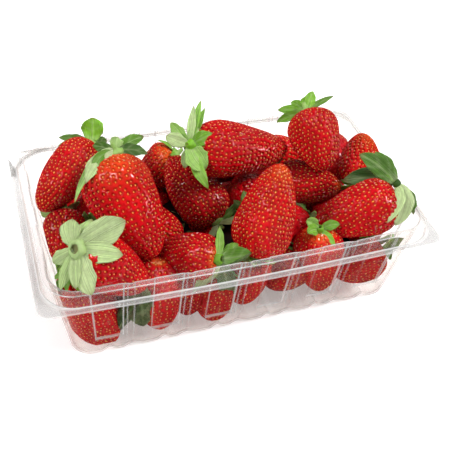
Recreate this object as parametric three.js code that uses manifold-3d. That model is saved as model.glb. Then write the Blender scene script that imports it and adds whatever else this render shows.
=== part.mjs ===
// A clear thermoformed punnet, filled over its rim with whole strawberries.
// Millimetres, +Z up, the long side along X, the origin under the middle of the base.

import * as THREE from 'three';
import { mergeVertices } from 'three/addons/utils/BufferGeometryUtils.js';
import Module from 'manifold-3d';

const wasm = await Module();
wasm.setup();

// ---------------------------------------------------------------- tray sizes

const SHEET = 0.7;                 // thickness of the formed plastic
const PANELS_LONG = 6;             // recessed panels on each long wall
const PANELS_SHORT = 3;            // and on each end wall
const PITCH = 26.8;                // panel spacing on the long walls
const PITCH_SHORT = 27;            // panel spacing on the end walls
const PANEL_HALF = 6.3;            // half width of a panel
const PANEL_EDGE = 0.6;            // width of the sloping panel edge
const PANEL_DEPTH = 1.3;           // how far a panel stands in
const RIM_PANEL_DEPTH = 0.5;       // what is left of that at the rim
const FLUTE_AT = 9.9;              // ridge of the narrow flute beside each panel
const FLUTE_HALF = 1.6;
const FLUTE_DEPTH = 0.9;
const NOTCH_TOP_HALF = 1.2;        // drainage notch under the middle of each panel
const NOTCH_FOOT_HALF = 2.4;
const NOTCH_HEIGHT = 3.2;
const ARCH_HEIGHT = 2.4;           // shallow arch in the base under each flute
const ARCH_END = 17;               // where that arch is back on the ground
const CHANNEL_FULL = 41;           // |y| where notches and arches reach full height
const CHANNEL_FADE = 34;           // |y| where they have run out into the flat base
const CORNER_STEPS = 4;

// The inner face from the base edge to the outer edge of the flange:
// half length, half width, outward bow of the long sides, corner radius, height.
const SECTION = {
  base: { a: 83.2, b: 46.2, bow: 0, radius: 9, z: SHEET },
  ledge: { a: 84.7, b: 47.1, bow: 0.4, radius: 9.5, z: 11 },
  step: { a: 84.9, b: 47.2, bow: 0.4, radius: 9.5, z: 12.4 },
  rim: { a: 90.8, b: 50.2, bow: 2, radius: 12, z: 52.5 },
  collar: { a: 94.3, b: 54, bow: 2, radius: 14.5, z: 52.5 },
  foot: { a: 94.9, b: 54.9, bow: 2, radius: 15.5, z: 46 },
  edge: { a: 98, b: 57.4, bow: 2, radius: 5, z: 46 },
};
const ROUND_TAB_RADIUS = 21;       // the one flange corner that follows the collar round

// What the outer face adds to each of those rows: sideways, and up.
const OUTER_SHIFT = {
  base: [SHEET, -SHEET],
  ledge: [SHEET, 0],
  step: [SHEET, 0],
  rim: [SHEET, -SHEET],
  collar: [-SHEET, -SHEET],
  foot: [-SHEET, -SHEET],
  edge: [0, -SHEET],
};

// --------------------------------------------------------------- berry sizes

const WALL_GAP = 0.35;             // fruit to plastic
const OVERHANG_FROM = 2;           // fruit this far above the rim may reach out over it
const BERRY_RINGS = 7;
const BERRY_SIDES = 11;
const BURIED_RINGS = 5;
const BURIED_SIDES = 8;
const LEAF_THICKNESS = 0.8;
const LEAF_ROOT = 2;               // leaves start this far from the middle of a calyx
const HUB_RADIUS = 3.6;
const HUB_HEIGHT = 1.6;
const HUB_SIDES = 6;
const POST_SIDES = 6;
const WELD = 1e-3;                 // corners closer than this are one
const POST_LEAN = 0.85;            // how far toward the middle the foot of a post stands

// Fruit that shows. Each lies from the middle of its calyx to its tip; blunt is how round
// the tip is, from 1.3, a cone, to 2, nearly an egg. A calyx gives its leaves as
// [turn, lift, curl, length, width]: degrees about the stalk, degrees up from the
// shoulder, degrees that the leaf bends down along its length, and two sizes.
const BERRIES = [
  {
    name: 'left_back', calyx: [-57, 35, 62], tip: [-88, 5, 50], width: 24, blunt: 1.7, isPropped: true,
    leaves: [[355, 65, 0, 17, 10], [298, 48, 16, 15, 4], [357, -6, 3, 17, 4], [20, -19, 79, 21, 4]],
  },
  {
    name: 'left_tall', calyx: [-58, 5, 76], tip: [-41, -31, 43], width: 33, blunt: 1.35, isPropped: true,
    crown: { at: [-55, 4, 76], up: [-0.3, 0.6, 0.7] },
    leaves: [[155, 30, 49, 19, 5], [158, 0, 29, 18, 5], [157, 46, 5, 11, 5], [66, 22, 18, 14, 3],
      [66, 28, 91, 14, 6], [36, 11, 59, 22, 8], [26, 14, 73, 32, 4]],
  },
  {
    name: 'left_small', calyx: [-76, 7, 46], tip: [-81, -19, 35], width: 20, blunt: 1.7,
    leaves: [[317, 4, -27, 15, 4], [352, -24, 52, 12, 4]],
  },
  {
    name: 'front_left', calyx: [-79, -36, 64], tip: [-48, -39, 34], width: 27, blunt: 1.7,
    leaves: [[93, -13, 11, 27, 12], [65, -26, 45, 20, 8], [2, -14, -8, 24, 9], [324, -4, 7, 18, 5],
      [1, 52, 44, 15, 4], [146, 30, 60, 12, 6]],
  },
  { name: 'back_small', calyx: [-12, 37, 46], tip: [-31, 37, 31], width: 25, blunt: 1.8 },
  {
    name: 'middle', calyx: [-3, -9, 36], tip: [-18, 29, 51], width: 27, blunt: 1.8,
    leaves: [[34, -5, 25, 17, 3], [276, -4, 24, 16, 4]],
  },
  {
    name: 'top_middle', calyx: [-14, 9, 71], tip: [39, 11, 61], width: 30, blunt: 1.35, isPropped: true,
    leaves: [[112, 7, 11, 20, 4], [105, -10, -8, 21, 4], [121, 38, -5, 14, 6], [180, 46, 27, 13, 6],
      [252, 8, 22, 9, 4], [348, 40, 60, 16, 8], [56, -10, -10, 18, 5], [348, -15, -13, 23, 5]],
  },
  {
    name: 'top_right', calyx: [52, 21, 76], tip: [53, -8, 59], width: 27, blunt: 1.6, isPropped: true,
    leaves: [[344, 27, 5, 15, 5], [333, 10, 10, 15, 5], [21, 32, 7, 9, 4], [242, 51, 14, 18, 5],
      [128, 55, -7, 9, 6], [175, 15, -11, 15, 3], [161, -19, 37, 16, 3]],
  },
  { name: 'right_back', calyx: [72, -12, 49], tip: [85, 14, 61], width: 24, blunt: 1.5, isPropped: true },
  { name: 'right_middle', calyx: [34, 9, 44], tip: [64, -9, 47], width: 23, blunt: 1.7 },
  { name: 'back_dark', calyx: [43, 42, 34], tip: [57, 24, 42], width: 24, blunt: 1.7 },
  { name: 'front_upright', calyx: [6, -38, 37], tip: [24, -16, 75], width: 30, blunt: 1.4 },
  {
    name: 'right_front', calyx: [82, -33, 57], tip: [42, -27, 41], width: 28, blunt: 1.5,
    crown: { at: [81, -30, 59], up: [0.75, 0.35, 0.55] },
    leaves: [[18, 36, 65, 22, 9], [9, 8, 84, 27, 9], [266, 35, 62, 20, 9], [214, -12, 60, 18, 7],
      [218, -16, 23, 17, 5]],
  },
  {
    name: 'front_middle', calyx: [-15, -44, 48], tip: [-37, -18, 33], width: 23, blunt: 1.6,
    leaves: [[75, 27, 15, 16, 5], [329, 24, 30, 19, 7], [206, 4, 43, 17, 5], [242, 18, 6, 20, 8]],
  },
  { name: 'under_tall', calyx: [-46, 6, 37], tip: [-22, -12, 34], width: 24, blunt: 1.7 },
  {
    name: 'corner_low', calyx: [-77, -16, 31], tip: [-65, -43, 8], width: 25, blunt: 1.6,
    leaves: [[30, 14, 55, 16, 5], [284, 26, 56, 19, 4]],
  },
  { name: 'window_one', calyx: [-35, -21, 25], tip: [-43, -43, 6], width: 22, blunt: 1.8 },
  { name: 'window_two', calyx: [-18, -40, 28], tip: [-20, -14, 12], width: 20, blunt: 1.7 },
  { name: 'window_three', calyx: [5, -30, 20], tip: [-17, -42, 8], width: 18, blunt: 1.7 },
  { name: 'window_four', calyx: [32, -33, 23], tip: [16, -31, 10], width: 22, blunt: 1.8 },
  {
    name: 'window_five', calyx: [41, -31, 33], tip: [47, -41, 8], width: 22, blunt: 1.7,
    leaves: [[243, 32, 24, 16, 7], [167, 6, 33, 11, 5], [267, 20, 21, 11, 5]],
  },
  {
    name: 'window_six', calyx: [81, -34, 18], tip: [52, -36, 9], width: 22, blunt: 1.6,
    leaves: [[246, 15, 31, 14, 4], [335, 18, 27, 13, 5]],
  },
];

// Fruit of the second layer that other fruit covers from above.
const BURIED = [
  { calyx: [-64, 1, 37], tip: [-47, 35, 34], width: 27 },
  { calyx: [-1, 30, 46], tip: [32, 42, 32], width: 28 },
  { calyx: [76, 40, 42], tip: [69, 5, 31], width: 27 },
  { calyx: [14, -9, 40], tip: [26, 26, 32], width: 26 },
  { calyx: [46, -14, 34], tip: [10, -21, 24], width: 24 },
  { calyx: [-46, -34, 25], tip: [-65, -5, 41], width: 23 },
  { calyx: [73, -33, 27], tip: [79, 3, 36], width: 22 },
  { calyx: [57, -23, 26], tip: [54, 14, 28], width: 22 },
];

// Rows of fruit on the base, behind the front ones.
const FLOOR_ROWS = [{ y: 2, turn: 12 }, { y: 32, turn: -14 }];
const FLOOR_COUNT = 5;
const FLOOR_SPACING = 33.5;
const FLOOR_LENGTH = 38;
const FLOOR_WIDTH = 26;
const FLOOR_HEIGHT = 17;

// The solid middle of the heap.
const CORE = { length: 148, width: 66, bottom: 1.1, top: 38, bevel: 5 };

// ------------------------------------------------------------ small helpers

const X = new THREE.Vector3(1, 0, 0);
const Z = new THREE.Vector3(0, 0, 1);
const vec = (p) => new THREE.Vector3(...p);
const radians = THREE.MathUtils.degToRad;
const clamp = THREE.MathUtils.clamp;

// Repeatable numbers between 0 and 1.
function makeRandom(seed) {
  let state = seed;
  return () => {
    state = (state * 16807) % 2147483647;
    return state / 2147483647;
  };
}

// Height of a curve through [position, height] corners.
function polyline(corners, at) {
  for (let i = 1; i < corners.length; i += 1) {
    const [x0, y0] = corners[i - 1];
    const [x1, y1] = corners[i];
    if (at >= x0 && at <= x1) {
      return y0 + ((y1 - y0) * (at - x0)) / (x1 - x0);
    }
  }
  return 0;
}

function geometryOf(points, faces) {
  const geometry = new THREE.BufferGeometry();
  geometry.setAttribute('position', new THREE.Float32BufferAttribute(points.flatMap((p) => [p.x, p.y, p.z]), 3));
  geometry.setIndex(faces.flat());
  return geometry;
}

// ------------------------------------------------------------------- tray

const PANEL_SHAPE = [[-PANEL_HALF - PANEL_EDGE, 0], [-PANEL_HALF, 1], [PANEL_HALF, 1], [PANEL_HALF + PANEL_EDGE, 0]];
const FLUTE_SHAPE = [[FLUTE_AT - FLUTE_HALF, 0], [FLUTE_AT, 1], [FLUTE_AT + FLUTE_HALF, 0]];
const NOTCH_SHAPE = [[-NOTCH_FOOT_HALF, 0], [-NOTCH_TOP_HALF, 1], [NOTCH_TOP_HALF, 1], [NOTCH_FOOT_HALF, 0]];
const ARCH_SHAPE = [[PANEL_HALF + PANEL_EDGE, 0], [FLUTE_AT, 1], [FLUTE_AT + FLUTE_HALF, 1], [ARCH_END, 0]];

const panelCentres = (count, pitch) => Array.from({ length: count }, (_, i) => (i - (count - 1) / 2) * pitch);
const LONG_CENTRES = panelCentres(PANELS_LONG, PITCH);
const SHORT_CENTRES = panelCentres(PANELS_SHORT, PITCH_SHORT);
const lastLong = LONG_CENTRES[PANELS_LONG - 1];

// Stations along one wall: the corners of every panel, notch, flute and arch.
function wallStations(centres, shapes, endShapes) {
  const stations = new Set();
  centres.forEach((centre, i) => {
    const here = i === centres.length - 1 ? endShapes : shapes;
    here.flat().forEach(([offset]) => stations.add(Number((centre + offset).toFixed(3))));
  });
  return [...stations].sort((p, q) => p - q);
}

const LONG_STATIONS = wallStations(
  LONG_CENTRES,
  [PANEL_SHAPE, FLUTE_SHAPE, NOTCH_SHAPE, ARCH_SHAPE],
  [PANEL_SHAPE, NOTCH_SHAPE],
);
const SHORT_STATIONS = wallStations(SHORT_CENTRES, [PANEL_SHAPE], [PANEL_SHAPE]);

// How far the wall stands in at a place along it, on one row of the section.
function relief(row, along, isLong) {
  const depth = { step: PANEL_DEPTH, rim: RIM_PANEL_DEPTH }[row] ?? 0;
  const centres = isLong ? LONG_CENTRES : SHORT_CENTRES;
  let inward = 0;
  centres.forEach((centre) => {
    inward += depth * polyline(PANEL_SHAPE, along - centre);
    const fluted = isLong && centre !== lastLong && ['ledge', 'step', 'rim'].includes(row);
    inward -= fluted ? FLUTE_DEPTH * polyline(FLUTE_SHAPE, along - centre) : 0;
  });
  return inward;
}

// How far the base is raised off the ground at x, near the long walls.
function channel(x) {
  return LONG_CENTRES.reduce((height, centre) => {
    const arch = centre === lastLong ? 0 : ARCH_HEIGHT * polyline(ARCH_SHAPE, x - centre);
    return height + arch + NOTCH_HEIGHT * polyline(NOTCH_SHAPE, x - centre);
  }, 0);
}

const bowAt = (row, x) => SECTION[row].bow * Math.cos((Math.PI / 2) * clamp(x / SECTION.edge.a, -1, 1));

// The stations of the outline: which wall or corner each is on, and where there.
// The flange needs only the main ones: the corners, and one station a panel.
function outlineStations() {
  const stations = [];
  const corner = (sx, sy, from, isRound) => {
    for (let i = 0; i <= CORNER_STEPS; i += 1) {
      stations.push({ sx, sy, angle: from + (i * 90) / CORNER_STEPS, isRound, isMain: true });
    }
  };
  const wall = (name, centres, places) => places.forEach((along) => {
    const isMain = centres.some((centre) => Math.abs(along - centre - PANEL_HALF) < 0.01);
    stations.push({ wall: name, along, isMain });
  });
  wall('front', LONG_CENTRES, LONG_STATIONS);
  corner(1, -1, -90, false);
  wall('right', SHORT_CENTRES, SHORT_STATIONS);
  corner(1, 1, 0, false);
  wall('back', LONG_CENTRES, [...LONG_STATIONS].reverse());
  corner(-1, 1, 90, true);
  wall('left', SHORT_CENTRES, [...SHORT_STATIONS].reverse());
  corner(-1, -1, 180, false);
  return stations;
}

// The point of one station on one row of the inner or outer face.
function wallPoint(station, row, isOuter) {
  const { a, b, radius, z } = SECTION[row];
  const [out, up] = isOuter ? OUTER_SHIFT[row] : [0, 0];
  if (station.wall === 'front' || station.wall === 'back') {
    const side = station.wall === 'front' ? -1 : 1;
    const lift = row === 'base' ? channel(station.along) : 0;
    const y = b + out + bowAt(row, station.along) - relief(row, station.along, true);
    return new THREE.Vector3(station.along, side * y, z + up + lift);
  }
  if (station.wall) {
    const side = station.wall === 'left' ? -1 : 1;
    const x = a + out - relief(row, station.along, false);
    return new THREE.Vector3(side * x, station.along, z + up);
  }
  const { sx, sy, angle, isRound } = station;
  const round = (row === 'edge' && isRound ? ROUND_TAB_RADIUS : radius) + out;
  const cx = sx * (a + out - round);
  const cy = sy * (b + out - round + bowAt(row, cx));
  const turn = radians(angle);
  return new THREE.Vector3(cx + round * Math.cos(turn), cy + round * Math.sin(turn), z + up);
}

// Rows of the base between its front edge and its back edge, at one x.
function basePoints(front, back, isOuter) {
  const flat = SECTION.base.z + (isOuter ? OUTER_SHIFT.base[1] : 0);
  const raised = front.z - flat;
  const levels = [-CHANNEL_FULL, -CHANNEL_FADE, CHANNEL_FADE, CHANNEL_FULL];
  const inner = levels.map((level) => {
    const y = level * Math.min(1, Math.abs(front.y) / SECTION.base.b);
    const height = Math.abs(level) === CHANNEL_FULL ? raised : 0;
    return new THREE.Vector3(front.x, y, flat + height);
  });
  return [front, ...inner, back];
}

function trayGeometry() {
  const stations = outlineStations();
  const rows = Object.keys(SECTION);
  const count = stations.length;
  const points = [];
  const faces = [];
  const add = (point) => points.push(point) - 1;
  const quad = (p, q, r, s) => faces.push([p, q, r], [p, r, s]);

  const mains = stations.map((station, i) => i).filter((i) => stations[i].isMain);
  const fineRows = rows.indexOf('rim');
  const skins = [false, true].map((isOuter) => rows.map((row, r) => stations.map(
    (station) => (r <= fineRows || station.isMain ? add(wallPoint(station, row, isOuter)) : -1),
  )));
  skins.forEach((skin, isOuter) => {
    const band = (r, i, j) => {
      const [p, q, s, t] = [skin[r - 1][i], skin[r - 1][j], skin[r][j], skin[r][i]];
      if (isOuter) {
        quad(p, q, s, t);
      } else {
        quad(p, t, s, q);
      }
    };
    // From the rim out to the collar every run of stations fans to its two main ones.
    const fan = (from, to) => {
      const run = [];
      for (let i = from; i !== to; i = (i + 1) % count) {
        run.push(i);
      }
      run.push(to);
      const middle = Math.floor(run.length / 2);
      const triangles = run.slice(1).map((j, k) => {
        const apex = k < middle ? from : to;
        return [skin[fineRows][run[k]], skin[fineRows][j], skin[fineRows + 1][apex]];
      });
      triangles.push([skin[fineRows][run[middle]], skin[fineRows + 1][to], skin[fineRows + 1][from]]);
      faces.push(...triangles.map((triangle) => (isOuter ? triangle : triangle.reverse())));
    };
    for (let r = 1; r <= fineRows; r += 1) {
      stations.forEach((_, i) => band(r, i, (i + 1) % count));
    }
    mains.forEach((i, k) => {
      const j = mains[(k + 1) % mains.length];
      fan(i, j);
      for (let r = fineRows + 2; r < rows.length; r += 1) {
        band(r, i, j);
      }
    });
  });
  const last = rows.length - 1;
  mains.forEach((i, k) => {
    const j = mains[(k + 1) % mains.length];
    quad(skins[1][last][i], skins[1][last][j], skins[0][last][j], skins[0][last][i]);
  });

  // The base is a ladder of strips from front to back; the ends of the outline close it.
  const half = LONG_STATIONS.length;
  const end = SHORT_STATIONS.length;
  const rightCorner = Array.from({ length: CORNER_STEPS + 1 }, (_, i) => half + i);
  const backRight = half + CORNER_STEPS + 1 + end;
  const backLeft = backRight + CORNER_STEPS + 1 + half;
  const leftEnd = backLeft + CORNER_STEPS + 1;
  const frontLeft = leftEnd + end;
  const fronts = [
    ...Array.from({ length: CORNER_STEPS + 1 }, (_, i) => frontLeft + i),
    ...LONG_STATIONS.map((_, i) => i),
    ...rightCorner,
  ];
  const backs = [
    ...Array.from({ length: CORNER_STEPS + 1 }, (_, i) => backLeft + CORNER_STEPS - i),
    ...LONG_STATIONS.map((_, i) => backRight + CORNER_STEPS + half - i),
    ...Array.from({ length: CORNER_STEPS + 1 }, (_, i) => backRight + CORNER_STEPS - i),
  ];
  skins.forEach((skin, isOuter) => {
    const rungs = fronts.map((front, k) => {
      const line = basePoints(points[skin[0][front]], points[skin[0][backs[k]]], Boolean(isOuter));
      return line.map((point, j) => {
        if (j === 0) {
          return skin[0][front];
        }
        return j === line.length - 1 ? skin[0][backs[k]] : add(point);
      });
    });
    for (let k = 1; k < rungs.length; k += 1) {
      for (let j = 1; j < rungs[k].length; j += 1) {
        const [p, q, s, t] = [rungs[k - 1][j - 1], rungs[k][j - 1], rungs[k][j], rungs[k - 1][j]];
        if (isOuter) {
          quad(p, t, s, q);
        } else {
          quad(p, q, s, t);
        }
      }
    }
    // Each end of the ladder meets the end wall, whose stations lie on the same line.
    const endFan = (rung, wallIds, flip) => {
      const chain = [rung[0], ...wallIds, rung[rung.length - 1]];
      let i = 0;
      let j = 0;
      while (i < rung.length - 1 || j < chain.length - 1) {
        const nextRung = i < rung.length - 1 ? points[rung[i + 1]].y : Infinity;
        const nextWall = j < chain.length - 1 ? points[chain[j + 1]].y : Infinity;
        const triangle = nextRung <= nextWall ? [rung[i], rung[i + 1], chain[j]] : [rung[i], chain[j + 1], chain[j]];
        if (nextRung <= nextWall) {
          i += 1;
        } else {
          j += 1;
        }
        if (new Set(triangle).size === 3) {
          faces.push(flip ? triangle.reverse() : triangle);
        }
      }
    };
    const rightIds = SHORT_STATIONS.map((_, i) => skin[0][half + CORNER_STEPS + 1 + i]);
    const leftIds = SHORT_STATIONS.map((_, i) => skin[0][leftEnd + end - 1 - i]);
    endFan(rungs[rungs.length - 1], rightIds, !isOuter);
    endFan(rungs[0], leftIds, Boolean(isOuter));
  });
  return geometryOf(points, faces);
}

// ------------------------------------------------------------------ fruit

// Keeps a point of the fruit inside the tray, pressed flat where it meets the plastic.
// Above the rim it may lean out, the further the higher it is.
function pressInside(point, gap = WALL_GAP) {
  const share = clamp((point.z - SECTION.base.z) / (SECTION.rim.z - SECTION.base.z), 0, 1);
  const free = Math.max(0, point.z - SECTION.rim.z - OVERHANG_FROM);
  const inset = PANEL_DEPTH + gap - free;
  const a = THREE.MathUtils.lerp(SECTION.base.a, SECTION.rim.a, share) - inset;
  const b = THREE.MathUtils.lerp(SECTION.base.b, SECTION.rim.b, share) - inset;
  const radius = SECTION.base.radius;
  const over = new THREE.Vector2(Math.abs(point.x) - (a - radius), Math.abs(point.y) - (b - radius));
  if (over.x > 0 && over.y > 0 && over.length() > radius) {
    over.setLength(radius);
  }
  const x = Math.sign(point.x) * (a - radius + Math.min(over.x, radius));
  const y = Math.sign(point.y) * (b - radius + Math.min(over.y, radius));
  const floor = SHEET + NOTCH_HEIGHT + WALL_GAP;
  return new THREE.Vector3(x, y, Math.max(point.z, floor));
}

// Radius of a berry at t, from 0 at the calyx to 1 at the tip, as a share of its half width.
const SHOULDER = 0.3;
function berryProfile(t, blunt) {
  if (t < SHOULDER) {
    return Math.sqrt(1 - (1 - t / SHOULDER) ** 2.2);
  }
  return Math.sqrt(Math.max(0, 1 - ((t - SHOULDER) / (1 - SHOULDER)) ** blunt));
}

// A right-handed frame around a direction: two side vectors and the direction.
function frameAround(direction) {
  const up = direction.clone().normalize();
  const side = new THREE.Vector3().crossVectors(Z, up);
  if (side.length() < 0.15) {
    side.crossVectors(X, up);
  }
  side.normalize();
  return { side, other: new THREE.Vector3().crossVectors(up, side), up };
}

function berryGeometry({ calyx, tip, width, blunt = 1.7 }, rings, sides, random) {
  const base = vec(calyx);
  const axis = vec(tip).sub(base);
  const { side, other } = frameAround(axis);
  const phase = random() * Math.PI * 2;
  const flat = 0.93 + 0.07 * random();
  const place = (t, i) => {
    const angle = (i / sides) * Math.PI * 2;
    const lump = 1 + 0.025 * Math.sin(2 * angle + phase) + 0.02 * Math.sin(5 * t + 3 * angle + phase);
    const radius = (width / 2) * berryProfile(t, blunt) * lump;
    const point = base.clone().addScaledVector(axis, t);
    point.addScaledVector(side, radius * Math.cos(angle));
    return pressInside(point.addScaledVector(other, radius * flat * Math.sin(angle)));
  };
  const points = [place(0, 0)];
  for (let r = 1; r < rings; r += 1) {
    const t = (1 - Math.cos((Math.PI * r) / rings)) / 2;
    for (let i = 0; i < sides; i += 1) {
      points.push(place(t, i));
    }
  }
  points.push(place(1, 0));
  const last = points.length - 1;
  const faces = [];
  for (let i = 0; i < sides; i += 1) {
    const j = (i + 1) % sides;
    faces.push([0, 1 + j, 1 + i], [last, last - sides + i, last - sides + j]);
    for (let r = 1; r < rings - 1; r += 1) {
      const p = 1 + (r - 1) * sides;
      faces.push([p + i, p + j, p + sides + j], [p + i, p + sides + j, p + sides + i]);
    }
  }
  return geometryOf(points, faces);
}

// The low dome that the leaves of a calyx grow from.
function hubGeometry({ at, frame }) {
  const profile = [[0, -2 * HUB_HEIGHT], [HUB_RADIUS, -HUB_HEIGHT], [HUB_RADIUS / 2, HUB_HEIGHT], [0, HUB_HEIGHT]];
  const corners = profile.map(([radius, height]) => new THREE.Vector2(radius, height));
  const geometry = new THREE.LatheGeometry(corners, HUB_SIDES);
  geometry.rotateX(Math.PI / 2);
  geometry.applyMatrix4(new THREE.Matrix4().makeBasis(frame.side, frame.other, frame.up).setPosition(at));
  return geometry;
}

// A pointed leaf as a thin wavy solid, its root under the hub and its tip in the air.
function leafGeometry({ at, frame }, [turn, lift, curl, length, width]) {
  const shape = [[0, 0.5], [0.5, 1]];
  const steps = 12;
  const outward = frame.side.clone().multiplyScalar(Math.cos(radians(turn)));
  outward.addScaledVector(frame.other, Math.sin(radians(turn)));
  const across = new THREE.Vector3().crossVectors(frame.up, outward);
  const spine = (s) => {
    const point = at.clone().addScaledVector(outward, LEAF_ROOT);
    for (let i = 0; i < steps; i += 1) {
      const angle = radians(lift - curl * s * ((i + 0.5) / steps));
      point.addScaledVector(outward, (Math.cos(angle) * length * s) / steps);
      point.addScaledVector(frame.up, (Math.sin(angle) * length * s) / steps);
    }
    return point;
  };
  const normalAt = (s) => {
    const angle = radians(lift - curl * s);
    return frame.up.clone().multiplyScalar(Math.cos(angle)).addScaledVector(outward, -Math.sin(angle));
  };
  const points = [];
  const face = (sign) => {
    shape.forEach(([s, share], row) => {
      [-1, 0, 1].forEach((edge) => {
        const wave = width * 0.12 * (edge === 0 ? -1 : 1) * (row % 2 ? 1 : 0.5);
        const point = spine(s).addScaledVector(across, (edge * share * width) / 2);
        const kept = pressInside(point.addScaledVector(normalAt(s), wave), WALL_GAP + LEAF_THICKNESS);
        points.push(kept.addScaledVector(normalAt(s), (sign * LEAF_THICKNESS) / 2));
      });
    });
    const end = pressInside(spine(1), WALL_GAP + LEAF_THICKNESS);
    points.push(end.addScaledVector(normalAt(1), (sign * LEAF_THICKNESS) / 4));
  };
  face(1);
  face(-1);
  const tip = shape.length * 3;
  const under = tip + 1;
  const top = [];
  for (let row = 0; row < shape.length - 1; row += 1) {
    for (let edge = 0; edge < 2; edge += 1) {
      const p = row * 3 + edge;
      top.push([p, p + 4, p + 1], [p, p + 3, p + 4]);
    }
  }
  top.push([tip - 3, tip, tip - 2], [tip - 2, tip, tip - 1]);
  const rim = [0, 1, 2, 5, tip, 3];
  const faces = [...top.map((f) => [...f]), ...top.map(([p, q, r]) => [p + under, r + under, q + under])];
  rim.forEach((p, i) => {
    const q = rim[(i + 1) % rim.length];
    faces.push([p, q, q + under], [p, q + under, p + under]);
  });
  return geometryOf(points, faces);
}

function coreGeometry() {
  const { length, width, bottom, top, bevel } = CORE;
  const outline = new THREE.Shape();
  const [a, b, corner] = [length / 2 - bevel, width / 2 - bevel, 14];
  outline.absarc(a - corner, -b + corner, corner, -Math.PI / 2, 0);
  outline.absarc(a - corner, b - corner, corner, 0, Math.PI / 2);
  outline.absarc(-a + corner, b - corner, corner, Math.PI / 2, Math.PI);
  outline.absarc(-a + corner, -b + corner, corner, Math.PI, Math.PI * 1.5);
  const geometry = new THREE.ExtrudeGeometry(outline, {
    depth: top - bottom - 2 * bevel,
    bevelThickness: bevel,
    bevelSize: bevel,
    bevelSegments: 1,
    curveSegments: 3,
  });
  geometry.translate(0, 0, bottom + bevel);
  return geometry;
}

// A post from the middle of a berry that rests on others, down into the core.
function postGeometry({ calyx, tip, width }) {
  const top = vec(calyx).lerp(vec(tip), 0.5);
  const foot = new THREE.Vector3(top.x * POST_LEAN, top.y * POST_LEAN, CORE.top - CORE.bevel * 2);
  const frame = frameAround(top.clone().sub(foot));
  const geometry = new THREE.CylinderGeometry(width * 0.2, width * 0.3, top.distanceTo(foot), POST_SIDES);
  geometry.rotateX(Math.PI / 2);
  const middle = top.lerp(foot, 0.5);
  geometry.applyMatrix4(new THREE.Matrix4().makeBasis(frame.side, frame.other, frame.up).setPosition(middle));
  return geometry;
}

// ----------------------------------------------------------- joining solids

function solidOf(geometry) {
  geometry.deleteAttribute('normal');
  geometry.deleteAttribute('uv');
  const merged = mergeVertices(geometry, WELD);
  const mesh = new wasm.Mesh({
    numProp: 3,
    vertProperties: new Float32Array(merged.attributes.position.array),
    triVerts: new Uint32Array(merged.index.array),
  });
  const solid = new wasm.Manifold(mesh);
  return solid.volume() < 0 ? new wasm.Manifold(new wasm.Mesh({
    numProp: 3,
    vertProperties: mesh.vertProperties,
    triVerts: mesh.triVerts.map((_, i, all) => all[i - (i % 3) + (2 - (i % 3))]),
  })) : solid;
}

function geometryFromSolid(solid) {
  const mesh = solid.getMesh();
  const geometry = new THREE.BufferGeometry();
  geometry.setAttribute('position', new THREE.BufferAttribute(mesh.vertProperties, 3));
  geometry.setIndex(new THREE.BufferAttribute(mesh.triVerts, 1));
  return geometry;
}

// The outer skin of the largest piece: scraps go, and sealed hollows are filled.
const largest = (pieces) => pieces.reduce((best, piece) => (piece.volume() > best.volume() ? piece : best));

function wholePiece(solid) {
  const skin = largest(solid.decompose());
  return largest(solidOf(geometryFromSolid(skin)).decompose());
}

function floorBerries() {
  const random = makeRandom(7);
  return FLOOR_ROWS.flatMap(({ y, turn }) => Array.from({ length: FLOOR_COUNT }, (_, i) => {
    const angle = radians(turn * (1 + random())) + (i % 2 ? Math.PI : 0);
    const half = new THREE.Vector3(Math.cos(angle), Math.sin(angle), -0.1).multiplyScalar(FLOOR_LENGTH / 2);
    const middle = new THREE.Vector3((i - (FLOOR_COUNT - 1) / 2) * FLOOR_SPACING, y, FLOOR_HEIGHT);
    return {
      calyx: middle.clone().sub(half).toArray(),
      tip: middle.clone().add(half).toArray(),
      width: FLOOR_WIDTH,
    };
  }));
}

function heapSolid() {
  const random = makeRandom(11);
  let heap = solidOf(coreGeometry());
  [...BURIED, ...floorBerries()].forEach((berry) => {
    heap = heap.add(solidOf(berryGeometry(berry, BURIED_RINGS, BURIED_SIDES, random)));
  });
  BERRIES.forEach((berry) => {
    heap = heap.add(solidOf(berryGeometry(berry, BERRY_RINGS, BERRY_SIDES, random)));
    if (berry.isPropped) {
      heap = heap.add(solidOf(postGeometry(berry)));
    }
  });
  BERRIES.filter((berry) => berry.leaves).forEach((berry) => {
    const at = vec(berry.crown?.at ?? berry.calyx);
    const frame = frameAround(berry.crown ? vec(berry.crown.up) : vec(berry.calyx).sub(vec(berry.tip)));
    heap = heap.add(solidOf(hubGeometry({ at, frame })));
    berry.leaves.forEach((leaf) => {
      heap = heap.add(solidOf(leafGeometry({ at, frame }, leaf)));
    });
  });
  return wholePiece(heap);
}

// ------------------------------------------------------------------- model

function addPart(group, name, geometry, look) {
  const mesh = new THREE.Mesh(geometry, new THREE.MeshStandardMaterial(look));
  mesh.name = name;
  group.add(mesh);
}

const punnet = new THREE.Group();
addPart(punnet, 'tray', trayGeometry(), {
  color: 0xe8eeee, roughness: 0.08, metalness: 0, transparent: true, opacity: 0.3,
});
addPart(punnet, 'strawberries', geometryFromSolid(heapSolid()), {
  color: 0xc4141c, roughness: 0.3, metalness: 0,
});

export default punnet;
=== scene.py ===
from math import acos, atan2, copysign, cos, pi, radians, sin

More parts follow.
